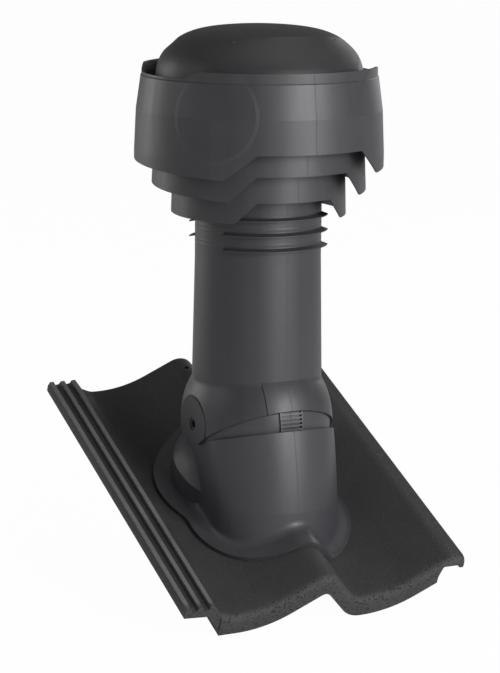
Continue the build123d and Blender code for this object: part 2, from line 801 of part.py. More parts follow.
def dome_body(inset, low):
    """The solid dome, drawn in by an inset: a round cap with one shallow facet in front and one behind."""
    round_points = [(0, dome_top - inset), (dome_crown_radius, dome_top - dome_crown_drop - inset)]
    round_points += [(dome_shoulder_radius - shoulder_in * inset, dome_shoulder_z - shoulder_down * inset)]
    round_points += [(side_radius - inset, dome_side_z), (dome_radius - inset, low)]
    depth = facet_inset + inset
    facet_points = [(facet_crease, crease_z - inset)]
    facet_points += [(dome_shoulder_radius - shoulder_in * depth, dome_shoulder_z - shoulder_down * depth)]
    facet_points += [(side_radius - depth, dome_side_z), (dome_radius - depth, low)]
    facet_points = [(r + facet_centre, z) for r, z in facet_points]
    facet_box = [(facet_reach, low), (facet_reach, dome_top), (facet_crease + facet_centre, dome_top)]
    with BuildPart() as body:
        with BuildSketch(head_front):
            with BuildLine():
                Spline(*round_points, tangents=[(1, 0), (1, -5)])
                Polyline(round_points[-1], (0, low), round_points[0])
            make_face()
        revolve(axis=pipe_axis)
        for centre_y in (facet_centre, -facet_centre):
            with BuildSketch(head_front.offset(-centre_y)):
                with BuildLine():
                    Spline(*facet_points)
                    Polyline(facet_points[-1], *facet_box, facet_points[0])
                make_face()
            revolve(axis=Axis(pivot + Vector(0, centre_y, 0), (0, 0, 1)), mode=Mode.SUBTRACT)
    return body.part


with BuildPart() as dome_cap:
    add(dome_body(0, dome_low))
    add(dome_body(dome_wall, dome_low - 1), mode=Mode.SUBTRACT)
    with BuildSketch(head_plan.offset(fin_top)):
        with Locations(*post_places):
            Circle(post_radius)
    extrude(amount=post_height)
    with BuildSketch(head_plan.offset(fin_top)):
        with Locations(*post_places):
            Circle(post_screw_radius + post_screw_fit)
    extrude(amount=post_screw_depth, mode=Mode.SUBTRACT)
dome_cap.part.label = "dome_cap"


def dome_screw(place):
    """A pan-head screw from under a fin into its post."""
    with BuildPart() as screw:
        with BuildSketch(head_plan.offset(fin_z - post_screw_head_height)):
            with Locations(place):
                Circle(post_screw_head)
        extrude(amount=post_screw_head_height)
        fillet(screw.edges().group_by(Axis.Z)[0], radius=post_screw_head_height / 3)
        with BuildSketch(head_plan.offset(fin_z)):
            with Locations(place):
                Circle(post_screw_radius)
        extrude(amount=fin_height + post_screw_depth - post_screw_tip)
    return screw.part


# The screws that hold the dome, one at each fin.
with BuildPart() as dome_screw_front_right:
    add(dome_screw(post_places[0]))
dome_screw_front_right.part.label = "dome_screw_front_right"

with BuildPart() as dome_screw_back_right:
    add(dome_screw(post_places[1]))
dome_screw_back_right.part.label = "dome_screw_back_right"

with BuildPart() as dome_screw_back_left:
    add(dome_screw(post_places[2]))
dome_screw_back_left.part.label = "dome_screw_back_left"

with BuildPart() as dome_screw_front_left:
    add(dome_screw(post_places[3]))
dome_screw_front_left.part.label = "dome_screw_front_left"

os.makedirs("parts", exist_ok=True)
export_step(roof_tile.part, "parts/roof_tile.step")
export_step(base_cone.part, "parts/base_cone.step")
export_step(flange_seal.part, "parts/flange_seal.step")
export_step(pivot_bush_left.part, "parts/pivot_bush_left.step")
export_step(pivot_bush_right.part, "parts/pivot_bush_right.step")
export_step(outer_pipe.part, "parts/outer_pipe.step")
export_step(inner_duct.part, "parts/inner_duct.step")
export_step(lower_ring.part, "parts/lower_ring.step")
export_step(upper_ring.part, "parts/upper_ring.step")
export_step(insulation.part, "parts/insulation.step")
export_step(hood_inner_ring.part, "parts/hood_inner_ring.step")
export_step(hood_middle_ring.part, "parts/hood_middle_ring.step")
export_step(hood_outer_ring.part, "parts/hood_outer_ring.step")
export_step(hood_carrier.part, "parts/hood_carrier.step")
export_step(dome_cap.part, "parts/dome_cap.step")
export_step(dome_screw_front_right.part, "parts/dome_screw_front_right.step")
export_step(dome_screw_back_right.part, "parts/dome_screw_back_right.step")
export_step(dome_screw_back_left.part, "parts/dome_screw_back_left.step")
export_step(dome_screw_front_left.part, "parts/dome_screw_front_left.step")
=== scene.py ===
"""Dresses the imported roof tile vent: studio, finishes and the fine surfaces of its mouldings."""

import logging
import math
from dataclasses import dataclass, field
from enum import Enum

import bpy
import numpy as np
from mathutils import Matrix, Vector


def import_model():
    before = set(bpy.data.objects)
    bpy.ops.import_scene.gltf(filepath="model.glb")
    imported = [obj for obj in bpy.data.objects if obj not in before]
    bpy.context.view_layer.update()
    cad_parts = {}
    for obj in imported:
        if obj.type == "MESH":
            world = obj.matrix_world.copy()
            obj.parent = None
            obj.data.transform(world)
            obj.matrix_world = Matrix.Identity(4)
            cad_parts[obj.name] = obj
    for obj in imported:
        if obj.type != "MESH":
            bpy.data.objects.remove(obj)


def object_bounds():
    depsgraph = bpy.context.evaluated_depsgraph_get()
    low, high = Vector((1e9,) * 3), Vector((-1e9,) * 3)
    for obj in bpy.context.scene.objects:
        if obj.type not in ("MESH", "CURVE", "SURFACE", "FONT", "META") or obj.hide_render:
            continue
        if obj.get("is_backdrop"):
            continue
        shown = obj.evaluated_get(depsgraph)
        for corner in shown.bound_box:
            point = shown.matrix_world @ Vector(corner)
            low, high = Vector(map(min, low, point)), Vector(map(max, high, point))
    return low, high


LOG = logging.getLogger("roof_tile_vent")
MM = 0.001

# Places of the shared frame in mm: the middle of the head's tilt axis, and the middle of the tile
PIVOT = np.array([0.0, -188.593, -14.624])
TILE_MIDDLE = np.array([0.0, -154.393, -122.424])

# The slope of the tile, in degrees
ROOF_PITCH = 23.05

# Nearly all values of a noise lie between these two
NOISE_LOW, NOISE_HIGH = 0.3, 0.7

# The sockets that the Mix node uses for colours
MIX_FACTOR, MIX_FIRST, MIX_SECOND, MIX_RESULT = 0, 6, 7, 2

WHITE = (1.0, 1.0, 1.0, 1.0)
PALE = (0.8, 0.8, 0.8, 1.0)

Socket = bpy.types.NodeSocket
Feed = Socket | float
Pair = tuple[float, float]
Triple = tuple[float, float, float]


class Side(Enum):
    """The two ears, which name the pivot bushes."""

    LEFT = "left"
    RIGHT = "right"


class Corner(Enum):
    """The four fins that a dome screw passes through."""

    FRONT_RIGHT = "front_right"
    BACK_RIGHT = "back_right"
    BACK_LEFT = "back_left"
    FRONT_LEFT = "front_left"


def slope_vector() -> np.ndarray:
    """Returns the unit vector that runs up the slope of the tile."""
    return np.array([0.0, math.cos(math.radians(ROOF_PITCH)), math.sin(math.radians(ROOF_PITCH))])


def outward_vector() -> np.ndarray:
    """Returns the unit vector that stands out of the tile."""
    return np.array([0.0, -math.sin(math.radians(ROOF_PITCH)), math.cos(math.radians(ROOF_PITCH))])


class NodeSheet:
    """A small helper that places and links shader nodes in one tree."""

    def __init__(self, tree: bpy.types.NodeTree) -> None:
        """Starts a sheet on a node tree.

        Args:
            tree: The material's or the group's node tree.
        """
        self.tree = tree
        self.column = 0

    def add(self, kind: str, **values: object) -> bpy.types.Node:
        """Adds a node and sets its properties.

        Args:
            kind: The node's type name.
            **values: Properties of the node, by name.

        Returns:
            The new node.
        """
        node = self.tree.nodes.new(kind)
        node.location = (self.column * 180, -(self.column % 5) * 160)
        self.column += 1
        for name, value in values.items():
            setattr(node, name, value)
        return node

    def link(self, source: Socket, target: Socket) -> None:
        """Links one socket to another."""
        self.tree.links.new(source, target)

    def feed(self, target: Socket, value: Feed | tuple[float, ...]) -> None:
        """Feeds an input from a socket, or writes a plain value into it.

        Args:
            target: The input.
            value: A socket, a number, or the numbers of a vector or colour.
        """
        if isinstance(value, Socket):
            self.link(value, target)
        else:
            target.default_value = value

    def use(self, group: bpy.types.NodeTree, vector: Socket, **values: float) -> bpy.types.Node:
        """Places a shared group.

        Args:
            group: The group.
            vector: Where it reads its coordinates.
            **values: Values of its other inputs, by name.

        Returns:
            The group's node.
        """
        node = self.add("ShaderNodeGroup", node_tree=group)
        self.link(vector, node.inputs["Vector"])
        for name, value in values.items():
            node.inputs[name].default_value = value
        return node

    def maths(self, operation: str, first: Feed, second: Feed = 0.5, third: Feed = 0.5) -> Socket:
        """Adds a Math node fed by sockets or plain numbers.

        Args:
            operation: The Math node's operation.
            first: The first input.
            second: The second input, for operations that have one.
            third: The third input, for operations that have one.

        Returns:
            The node's output socket.
        """
        node = self.add("ShaderNodeMath", operation=operation)
        for target, value in zip(node.inputs, (first, second, third)):
            self.feed(target, value)
        return node.outputs[0]

    def vector_maths(self, operation: str, first: Socket, second: Triple) -> bpy.types.Node:
        """Adds a Vector Math node fed by a socket and a plain vector.

        Args:
            operation: The Vector Math node's operation.
            first: The first input, a socket.
            second: The second input, three numbers.

        Returns:
            The node, whose result is its output Vector or Value.
        """
        node = self.add("ShaderNodeVectorMath", operation=operation)
        self.link(first, node.inputs[0])
        node.inputs[1].default_value = second
        return node

    def split(self, vector: Socket) -> tuple[Socket, Socket, Socket]:
        """Splits a vector.

        Args:
            vector: The vector.

        Returns:
            Its X, Y and Z.
        """
        node = self.add("ShaderNodeSeparateXYZ")
        self.link(vector, node.inputs[0])
        return tuple(node.outputs)

    def diagonal(self, first: Socket, second: Socket) -> Socket:
        """Gives the diagonal over two legs, the root of the sum of their squares."""
        squares = self.maths("MULTIPLY_ADD", first, first, self.maths("MULTIPLY", second, second))
        return self.maths("SQRT", squares)

    def distance(self, value: Socket, middle: float) -> Socket:
        """Gives how far a value is from a middle, without its sign."""
        return self.maths("ABSOLUTE", self.maths("SUBTRACT", value, middle))

    def noise(self, vector: Socket, scale: Feed, detail: float, rough: float = 0.5) -> Socket:
        """Adds a Noise texture.

        Args:
            vector: Where it reads its coordinates.
            scale: Its scale per metre.
            detail: Its octaves.
            rough: Its roughness.

        Returns:
            The noise's value, from 0 to 1.
        """
        node = self.add("ShaderNodeTexNoise")
        for name, value in (("Vector", vector), ("Scale", scale), ("Detail", detail), ("Roughness", rough)):
            self.feed(node.inputs[name], value)
        return node.outputs["Fac"]

    def remap(self, value: Socket, low: float, high: float, to_low: float, to_high: float) -> Socket:
        """Adds a clamped Map Range from (low, high) to (to_low, to_high).

        Args:
            value: The value to map.
            low: The value that becomes to_low.
            high: The value that becomes to_high.
            to_low: The result at low.
            to_high: The result at high.

        Returns:
            The mapped value.
        """
        node = self.add("ShaderNodeMapRange", clamp=True)
        self.link(value, node.inputs["Value"])
        for name, number in (("From Min", low), ("From Max", high), ("To Min", to_low), ("To Max", to_high)):
            node.inputs[name].default_value = number
        return node.outputs["Result"]

    def spread(self, noise: Socket, to_low: float, to_high: float) -> Socket:
        """Maps the range in which nearly all of a noise lies to two values."""
        return self.remap(noise, NOISE_LOW, NOISE_HIGH, to_low, to_high)

    def blend(self, factor: Socket, first: Socket | Triple, second: Socket | Triple) -> Socket:
        """Mixes two colours by a factor.

        Args:
            factor: The share of the second colour, from 0 to 1.
            first: The colour at 0, a socket or a tuple.
            second: The colour at 1, a socket or a tuple.

        Returns:
            The mixed colour.
        """
        node = self.add("ShaderNodeMix", data_type="RGBA")
        self.link(factor, node.inputs[MIX_FACTOR])
        for slot, colour in ((MIX_FIRST, first), (MIX_SECOND, second)):
            self.feed(node.inputs[slot], (*colour, 1.0) if isinstance(colour, tuple) else colour)
        return node.outputs[MIX_RESULT]

    def shaded(self, colour: Socket | Triple, shade: Socket) -> Socket:
        """Makes a colour lighter or darker.

        Args:
            colour: The colour, a socket or a tuple.
            shade: What the colour is multiplied by.

        Returns:
            The shaded colour.
        """
        node = self.add("ShaderNodeVectorMath", operation="SCALE")
        self.feed(node.inputs[0], colour)
        self.link(shade, node.inputs["Scale"])
        return node.outputs[0]


def new_group(
    name: str, inputs: dict[str, float], outputs: tuple[str, ...]
) -> tuple[NodeSheet, bpy.types.Node, bpy.types.Node]:
    """Makes an empty shader group that reads coordinates and numbers and puts out numbers.

    Args:
        name: The group's name.
        inputs: Default values of its number inputs, by name.
        outputs: The names of its outputs.

    Returns:
        The group's sheet, and its input and output nodes.
    """
    tree = bpy.data.node_groups.new(name, "ShaderNodeTree")
    tree.interface.new_socket(name="Vector", in_out="INPUT", socket_type="NodeSocketVector")
    for label, value in inputs.items():
        socket = tree.interface.new_socket(name=label, in_out="INPUT", socket_type="NodeSocketFloat")
        socket.default_value = value
    for label in outputs:
        tree.interface.new_socket(name=label, in_out="OUTPUT", socket_type="NodeSocketFloat")
    sheet = NodeSheet(tree)
    return sheet, sheet.add("NodeGroupInput"), sheet.add("NodeGroupOutput")


def grain_group() -> bpy.types.NodeTree:
    """Builds the group for a moulding's skin: broad clouds, upright streaks and a height with fine specks.

    Returns:
        The group.
    """
    sizes = {"Cloud Size": 14.0, "Streak Size": 55.0, "Speck Size": 900.0}
    upright_stretch = 0.035
    sheet, entry, leave = new_group("moulding_grain", sizes, ("Cloud", "Streak", "Height"))
    vector = entry.outputs["Vector"]
    drawn = sheet.vector_maths("MULTIPLY", vector, (1.0, 1.0, upright_stretch)).outputs["Vector"]
    cloud = sheet.noise(vector, entry.outputs["Cloud Size"], 3.0)
    streak = sheet.noise(drawn, entry.outputs["Streak Size"], 4.0, 0.6)
    speck = sheet.noise(vector, entry.outputs["Speck Size"], 2.0)
    sheet.link(cloud, leave.inputs["Cloud"])
    sheet.link(streak, leave.inputs["Streak"])
    rise = sheet.maths("MULTIPLY_ADD", streak, 0.8, speck)
    sheet.link(sheet.maths("MULTIPLY_ADD", cloud, 0.5, rise), leave.inputs["Height"])
    return sheet.tree


def parting_group() -> bpy.types.NodeTree:
    """Builds the group for a mould's parting line: a ridge that is 1 at x = 0 and 0 past its width.

    Returns:
        The group.
    """
    sheet, entry, leave = new_group("parting_line", {"Width": 0.0005}, ("Ridge",))
    across = sheet.split(entry.outputs["Vector"])[0]
    away = sheet.maths("DIVIDE", sheet.maths("ABSOLUTE", across), entry.outputs["Width"])
    sheet.link(sheet.maths("SUBTRACT", 1.0, sheet.maths("MINIMUM", away, 1.0)), leave.inputs["Ridge"])
    return sheet.tree


def round_place_group() -> bpy.types.NodeTree:
    """Builds the group that unrolls the head: bearing in degrees from front or back, arc and height in mm.

    The bearing is the angle whose tangent is the distance across over the distance forward or back, both
    without sign, so the four quarters are alike. The arc is the bearing in radians times the radius.

    Returns:
        The group.
    """
    sheet, entry, leave = new_group("unrolled_head", {"Radius": 136.0}, ("Bearing", "Arc", "Level"))
    across, forward, up = sheet.split(entry.outputs["Vector"])
    turn = sheet.maths("ARCTAN2", sheet.distance(across, 0.0), sheet.distance(forward, PIVOT[1] * MM))
    sheet.link(sheet.maths("MULTIPLY", turn, math.degrees(1.0)), leave.inputs["Bearing"])
    sheet.link(sheet.maths("MULTIPLY", turn, entry.outputs["Radius"]), leave.inputs["Arc"])
    sheet.link(sheet.maths("MULTIPLY_ADD", up, 1.0 / MM, -PIVOT[2]), leave.inputs["Level"])
    return sheet.tree


def tile_place_group() -> bpy.types.NodeTree:
    """Builds the group that gives a point in the tile's frame: across, up the slope and out of it, in mm.

    Returns:
        The group.
    """
    sheet, entry, leave = new_group("tile_place", {"Scale": 1.0 / MM}, ("Across", "Upslope", "Out"))
    from_middle = sheet.vector_maths("SUBTRACT", entry.outputs["Vector"], tuple(TILE_MIDDLE * MM))
    for name, way in (("Across", (1.0, 0.0, 0.0)), ("Upslope", slope_vector()), ("Out", outward_vector())):
        along = sheet.vector_maths("DOT_PRODUCT", from_middle.outputs["Vector"], tuple(way)).outputs["Value"]
        sheet.link(sheet.maths("MULTIPLY", along, entry.outputs["Scale"]), leave.inputs[name])
    return sheet.tree


def groove_shade_group() -> bpy.types.NodeTree:
    """Builds the mask of the painted shade in the ladder pad's grooves: 1 where a point lies deeper than the
    tops of its ribs.

    The depth is measured from the tilt axis. All sizes are in metres from the middle of that axis.

    Returns:
        The group.
    """
    sizes = {"Rib Radius": 0.0872, "Half Width": 0.0123}
    front_edge, foot_edge = -0.05, 0.001
    sheet, entry, leave = new_group("pad_groove_painted_shade", sizes, ("Inside",))
    from_axis = sheet.vector_maths("SUBTRACT", entry.outputs["Vector"], tuple(PIVOT * MM))
    across, forward, up = sheet.split(from_axis.outputs["Vector"])
    inside = sheet.maths("LESS_THAN", sheet.diagonal(forward, up), entry.outputs["Rib Radius"])
    for test in (
        sheet.maths("LESS_THAN", sheet.maths("ABSOLUTE", across), entry.outputs["Half Width"]),
        sheet.maths("LESS_THAN", forward, front_edge),
        sheet.maths("GREATER_THAN", up, foot_edge),
    ):
        inside = sheet.maths("MULTIPLY", inside, test)
    sheet.link(inside, leave.inputs["Inside"])
    return sheet.tree


@dataclass
class Groups:
    """The shader groups that the finishes share, built once."""

    grain: bpy.types.NodeTree = field(default_factory=grain_group)
    parting: bpy.types.NodeTree = field(default_factory=parting_group)
    round_place: bpy.types.NodeTree = field(default_factory=round_place_group)
    tile_place: bpy.types.NodeTree = field(default_factory=tile_place_group)
    grooves: bpy.types.NodeTree = field(default_factory=groove_shade_group)


def empty_sheet(owner: bpy.types.Material | bpy.types.World) -> NodeSheet:
    """Starts an empty sheet.

    Args:
        owner: The material or the world that the sheet's nodes belong to.

    Returns:
        The sheet.
    """
    owner.use_nodes = True
    owner.node_tree.nodes.clear()
    return NodeSheet(owner.node_tree)


def start_material(name: str) -> tuple[bpy.types.Material, NodeSheet, Socket]:
    """Starts an empty material.

    Args:
        name: The material's name.

    Returns:
        The material, its sheet and the object coordinates.
    """
    made = bpy.data.materials.new(name)
    sheet = empty_sheet(made)
    return made, sheet, sheet.add("ShaderNodeTexCoord").outputs["Object"]


def end_material(
    sheet: NodeSheet, colour: Socket, rough: Socket, heights: list[tuple[Socket, float]], **plain: float
) -> None:
    """Ends a material in one Principled skin over a chain of bumps.

    Args:
        sheet: The material's sheet.
        colour: The base colour.
        rough: The roughness.
        heights: Each height from 0 to 1, with what 1 stands for in metres.
        **plain: Values of the skin's own sockets, with spaces as underscores.
    """
    skin = sheet.add("ShaderNodeBsdfPrincipled")
    normal = None
    for height, reach in heights:
        bump = sheet.add("ShaderNodeBump")
        bump.inputs["Distance"].default_value = reach
        sheet.link(height, bump.inputs["Height"])
        if normal is not None:
            sheet.link(normal, bump.inputs["Normal"])
        normal = bump.outputs["Normal"]
    sheet.link(colour, skin.inputs["Base Color"])
    sheet.link(rough, skin.inputs["Roughness"])
    sheet.link(normal, skin.inputs["Normal"])
    for name, value in plain.items():
        skin.inputs[name.replace("_", " ")].default_value = value
    end = sheet.add("ShaderNodeOutputMaterial")
    sheet.link(skin.outputs[0], end.inputs["Surface"])


@dataclass(frozen=True)
class HoodRelief:
    """The round pads of the outer hood ring over its fins, with a shallow recess and two creases beside each.

    Bearings and turns are in degrees from the front or back, shares are of the height, and the rest is in mm.
    """

    ring_radius: float = 136.0
    height: float = 0.45
    pad_bearing: float = 47.0
    pad_level: float = 348.0
    pad_radius: float = 47.5
    pad_edge: float = 2.0
    recess_bearing: float = 73.5
    recess_half_turn: float = 10.0
    recess_turn_edge: float = 1.5
    recess_level: float = 372.0
    recess_half_height: float = 37.5
    recess_level_edge: float = 4.5
    recess_share: float = 0.4
    creases: tuple[float, ...] = (48.5, 65.0)
    crease_half_turn: float = 1.6
    crease_share: float = 0.12

    def draw(self, sheet: NodeSheet, vector: Socket, groups: Groups) -> Socket:
        """Draws the relief.

        A pad is the disc of points whose arc from its bearing and height from its level, taken as the two
        legs of a right triangle, give a diagonal within its radius. The recess is a rectangle in the same
        two measures, and a crease is a narrow upright roof.

        Args:
            sheet: The material's sheet.
            vector: The object coordinates.
            groups: The shared groups.

        Returns:
            The height, 1 on a pad.
        """
        place = sheet.use(groups.round_place, vector, Radius=self.ring_radius)
        bearing, arc, level = (place.outputs[name] for name in ("Bearing", "Arc", "Level"))
        pad_arc = sheet.maths("SUBTRACT", arc, math.radians(self.pad_bearing) * self.ring_radius)
        pad_rise = sheet.maths("SUBTRACT", level, self.pad_level)
        pad = self.within(sheet, sheet.diagonal(pad_arc, pad_rise), self.pad_radius, self.pad_edge)
        aside = sheet.distance(bearing, self.recess_bearing)
        beyond = sheet.distance(level, self.recess_level)
        turned = self.within(sheet, aside, self.recess_half_turn, self.recess_turn_edge)
        lifted = self.within(sheet, beyond, self.recess_half_height, self.recess_level_edge)
        recess = sheet.maths("MULTIPLY", sheet.maths("MULTIPLY", turned, lifted), self.recess_share)
        relief = sheet.maths("SUBTRACT", pad, recess)
        for turn in self.creases:
            away = sheet.distance(bearing, turn)
            crease = sheet.remap(away, 0.0, self.crease_half_turn, self.crease_share, 0.0)
            relief = sheet.maths("ADD", relief, crease)
        return relief

    def within(self, sheet: NodeSheet, away: Socket, reach: float, edge: float) -> Socket:
        """Gives 1 within a reach and 0 past it, with a slope of half width edge between the two."""
        return sheet.remap(away, reach - edge, reach + edge, 1.0, 0.0)


@dataclass(frozen=True)
class MouldedPlastic:
    """A moulded, slightly satin plastic with flow clouds and upright streaks.

    It may have a parting line of the height seam, the hood's relief, and painted shade in the ladder pad's
    grooves. The cloud, the streak, the painted highlight along the seam and the painted shade in the grooves
    are shares by which the colour changes, and the bump and the seam are in metres. The roughness changes
    with the streaks by the two values of its spread.
    """

    name: str
    colour: Triple
    roughness: float = 0.44
    rough_spread: Pair = (-0.04, 0.05)
    cloud: float = 0.07
    streak: float = 0.06
    bump: float = 0.00003
    seam: float = 0.0
    # the share by which the seam's ridge is painted lighter: a painted highlight
    seam_painted_highlight: float = 0.10
    specular: float = 0.5
    relief: HoodRelief | None = None
    grooves: bool = False
    # the share by which the pad's grooves are painted darker: painted shade
    groove_painted_shade: float = 0.85

    def material(self, groups: Groups) -> bpy.types.Material:
        """Builds the material.

        Args:
            groups: The shared groups.

        Returns:
            The material.
        """
        made, sheet, vector = start_material(self.name)
        grain = sheet.use(groups.grain, vector)
        cloud = sheet.spread(grain.outputs["Cloud"], 1.0 - self.cloud, 1.0 + self.cloud)
        streak = sheet.spread(grain.outputs["Streak"], 1.0 - self.streak, 1.0 + self.streak)
        shade = sheet.maths("MULTIPLY", cloud, streak)
        heights = [(grain.outputs["Height"], self.bump)]
        if self.seam:
            ridge = sheet.use(groups.parting, vector).outputs["Ridge"]
            # painted highlight: the colour is a share lighter along the seam's ridge
            shade = self.changed(sheet, shade, ridge, self.seam_painted_highlight)
            heights.append((ridge, self.seam))
        if self.relief:
            heights.append((self.relief.draw(sheet, vector, groups), self.relief.height * MM))
        if self.grooves:
            inside = sheet.use(groups.grooves, vector).outputs["Inside"]
            # painted shade: the colour is darkened on the floors and walls of the pad's grooves
            shade = self.changed(sheet, shade, inside, -self.groove_painted_shade)
        colour = sheet.shaded(self.colour, shade)
        rough = sheet.spread(grain.outputs["Streak"], *(self.roughness + more for more in self.rough_spread))
        end_material(sheet, colour, rough, heights, Specular_IOR_Level=self.specular)
        return made

    def changed(self, sheet: NodeSheet, shade: Socket, mask: Socket, share: float) -> Socket:
        """Changes a shade by a share of itself where a mask is 1."""
        return sheet.maths("MULTIPLY", shade, sheet.maths("MULTIPLY_ADD", mask, share, 1.0))


@dataclass(frozen=True)
class RoofConcrete:
    """Coated concrete: fine sandy grain with light specks, worn ribs, and a dusty pitted nose, with painted
    shade in its pits.

    The scales of the noises are per metre, and the depths in metres. A fade is the two values between which a
    mask runs from 0 to 1 or back. Those of the nose and the ribs are in mm in the tile's frame, and so is the
    waver, which is how far a noise moves them.
    """

    name: str = "coated_concrete"
    coat: Triple = (0.031, 0.031, 0.033)
    worn: Triple = (0.150, 0.150, 0.153)
    dust: Triple = (0.051, 0.050, 0.052)
    speck: Triple = (0.16, 0.16, 0.16)
    # the near black of the pits: painted shade inside them
    pit_painted_shade: Triple = (0.012, 0.012, 0.012)
    sand_scale: float = 620.0
    blotch_scale: float = 22.0
    smear_scale: float = 160.0
    pit_scale: float = 380.0
    nose_fade: Pair = (-204.0, -197.5)
    nose_waver: float = 9.0
    dust_fade: Pair = (0.3, 0.65)
    dust_least: float = 0.45
    rib_side_fade: Pair = (-128.0, -125.0)
    rib_top_fade: Pair = (40.2, 41.4)
    rib_waver: float = 1.2
    rib_wear: float = 0.8
    speck_fade: Pair = (0.56, 0.74)
    speck_share: float = 0.32
    pit_fade: Pair = (0.32, 0.39)
    pits_on_nose: float = 0.80
    pits_elsewhere: float = 0.05
    shades: Pair = (0.88, 1.12)
    roughness: Pair = (0.60, 0.74)
    specular: float = 0.4
    sand_depth: float = 0.0007
    pit_depth: float = 0.0016

    def nose_mask(self, sheet: NodeSheet, upslope: Socket, smear: Socket) -> Socket:
        """Masks the tile's nose.

        Args:
            sheet: The material's sheet.
            upslope: The place up the slope, in mm.
            smear: The noise by which the nose's edge wavers.

        Returns:
            1 before the edge and 0 past it.
        """
        wavering = sheet.maths("MULTIPLY_ADD", smear, self.nose_waver, -0.5 * self.nose_waver)
        return sheet.remap(sheet.maths("ADD", upslope, wavering), *self.nose_fade, 1.0, 0.0)

    def rib_mask(self, sheet: NodeSheet, across: Socket, out: Socket, smear: Socket) -> Socket:
        """Masks the worn tops of the ribs on the left of the tile.

        Args:
            sheet: The material's sheet.
            across: The place across the tile, in mm.
            out: The place out of the tile, in mm.
            smear: The noise by which the wear wavers.

        Returns:
            How worn the coat is, from 0 to 1.
        """
        beside = sheet.remap(across, *self.rib_side_fade, 1.0, 0.0)
        height = sheet.maths("MULTIPLY_ADD", smear, self.rib_waver, out)
        high = sheet.remap(height, *self.rib_top_fade, 0.0, 1.0)
        return sheet.maths("MULTIPLY", sheet.maths("MULTIPLY", beside, high), self.rib_wear)

    def material(self, groups: Groups) -> bpy.types.Material:
        """Builds the material.

        Args:
            groups: The shared groups.

        Returns:
            The material.
        """
        made, sheet, vector = start_material(self.name)
        place = sheet.use(groups.tile_place, vector)
        sand = sheet.noise(vector, self.sand_scale, 3.0, 0.7)
        blotch = sheet.noise(vector, self.blotch_scale, 4.0, 0.6)
        smear = sheet.noise(vector, self.smear_scale, 3.0, 0.6)
        pits = sheet.remap(sheet.noise(vector, self.pit_scale, 2.0), *self.pit_fade, 1.0, 0.0)
        nose = self.nose_mask(sheet, place.outputs["Upslope"], smear)
        dusty = sheet.maths("MULTIPLY", nose, sheet.remap(smear, *self.dust_fade, self.dust_least, 1.0))
        worn = self.rib_mask(sheet, place.outputs["Across"], place.outputs["Out"], smear)
        specked = sheet.remap(sand, *self.speck_fade, 0.0, self.speck_share)
        pit_share = sheet.remap(nose, 0.0, 1.0, self.pits_elsewhere, self.pits_on_nose)
        pitted = sheet.maths("MULTIPLY", pits, pit_share)
        colour = self.coat
        # the pits' near black is painted shade; the other layers are the coat's own wear, dust and specks
        layers = ((worn, self.worn), (dusty, self.dust), (specked, self.speck), (pitted, self.pit_painted_shade))
        for mask, over in layers:
            colour = sheet.blend(mask, colour, over)
        colour = sheet.shaded(colour, sheet.spread(blotch, *self.shades))
        rough = sheet.spread(blotch, *self.roughness)
        heights = [(sand, self.sand_depth), (sheet.maths("SUBTRACT", 1.0, pitted), self.pit_depth)]
        end_material(sheet, colour, rough, heights, Specular_IOR_Level=self.specular)
        return made


@dataclass(frozen=True)
class SoftFill:
    """A soft matte stuff, rubber or foam: two colours over cells of one size.

    The cells are counted per metre, and their depth is in metres. A mottle, a noise whose scale is a share of
    the cells' own, changes how much of the light colour shows, and the roughness.
    """

    name: str
    dark: Triple
    light: Triple
    cells: float
    depth: float
    roughness: float
    rough_reach: float = 0.05
    mottle_scale: float = 0.2
    shares: Pair = (0.8, 1.3)
    specular: float = 0.3

    def material(self) -> bpy.types.Material:
        """Builds the material.

        Returns:
            The material.
        """
        made, sheet, vector = start_material(self.name)
        cell = sheet.add("ShaderNodeTexVoronoi")
        cell.inputs["Scale"].default_value = self.cells
        sheet.link(vector, cell.inputs["Vector"])
        away = cell.outputs["Distance"]
        mottle = sheet.noise(vector, self.cells * self.mottle_scale, 3.0)
        share = sheet.maths("MULTIPLY", away, sheet.spread(mottle, *self.shares))
        colour = sheet.blend(share, self.dark, self.light)
        rough = sheet.spread(mottle, self.roughness - self.rough_reach, self.roughness + self.rough_reach)
        end_material(sheet, colour, rough, [(away, self.depth)], Specular_IOR_Level=self.specular)
        return made


@dataclass(frozen=True)
class ZincSteel:
    """Zinc-plated steel with a fine turned grain, its scales per metre and its depth in metres."""

    name: str = "zinc_steel"
    bright: Triple = (0.55, 0.55, 0.56)
    dull: Triple = (0.36, 0.36, 0.37)
    bloom_scale: float = 260.0
    grain_scale: float = 2600.0
    grain_depth: float = 0.00002
    roughness: Pair = (0.28, 0.42)

    def material(self) -> bpy.types.Material:
        """Builds the material.

        Returns:
            The material.
        """
        made, sheet, vector = start_material(self.name)
        bloom = sheet.noise(vector, self.bloom_scale, 3.0)
        grain = sheet.noise(vector, self.grain_scale, 2.0)
        colour = sheet.blend(bloom, self.dull, self.bright)
        rough = sheet.spread(grain, *self.roughness)
        end_material(sheet, colour, rough, [(grain, self.grain_depth)], Metallic=1.0)
        return made


def dress(name: str, material: bpy.types.Material) -> None:
    """Gives a CAD node its material.

    Args:
        name: The node's name.
        material: The material that all its slots take.
    """
    node = bpy.data.objects[name]
    if not node.material_slots:
        node.data.materials.append(material)
    for slot in node.material_slots:
        slot.material = material
    LOG.info("dressed %s with %s", name, material.name)


@dataclass(frozen=True)
class SoftLamp:
    """A large square lamp: its place and its side in metres, and its power in watts."""

    name: str
    place: Triple
    side: float
    power: float

    def build(self, aim: Triple) -> None:
        """Hangs the lamp.

        Args:
            aim: The point that it faces, in metres.
        """
        data = bpy.data.lights.new(self.name, "AREA")
        data.size = self.side
        data.energy = self.power
        place = Vector(self.place)
        turn = (Vector(aim) - place).to_track_quat("-Z", "Y").to_matrix().to_4x4()
        holder = bpy.data.objects.new(self.name, data)
        holder.matrix_world = Matrix.Translation(place) @ turn
        bpy.context.scene.collection.objects.link(holder)


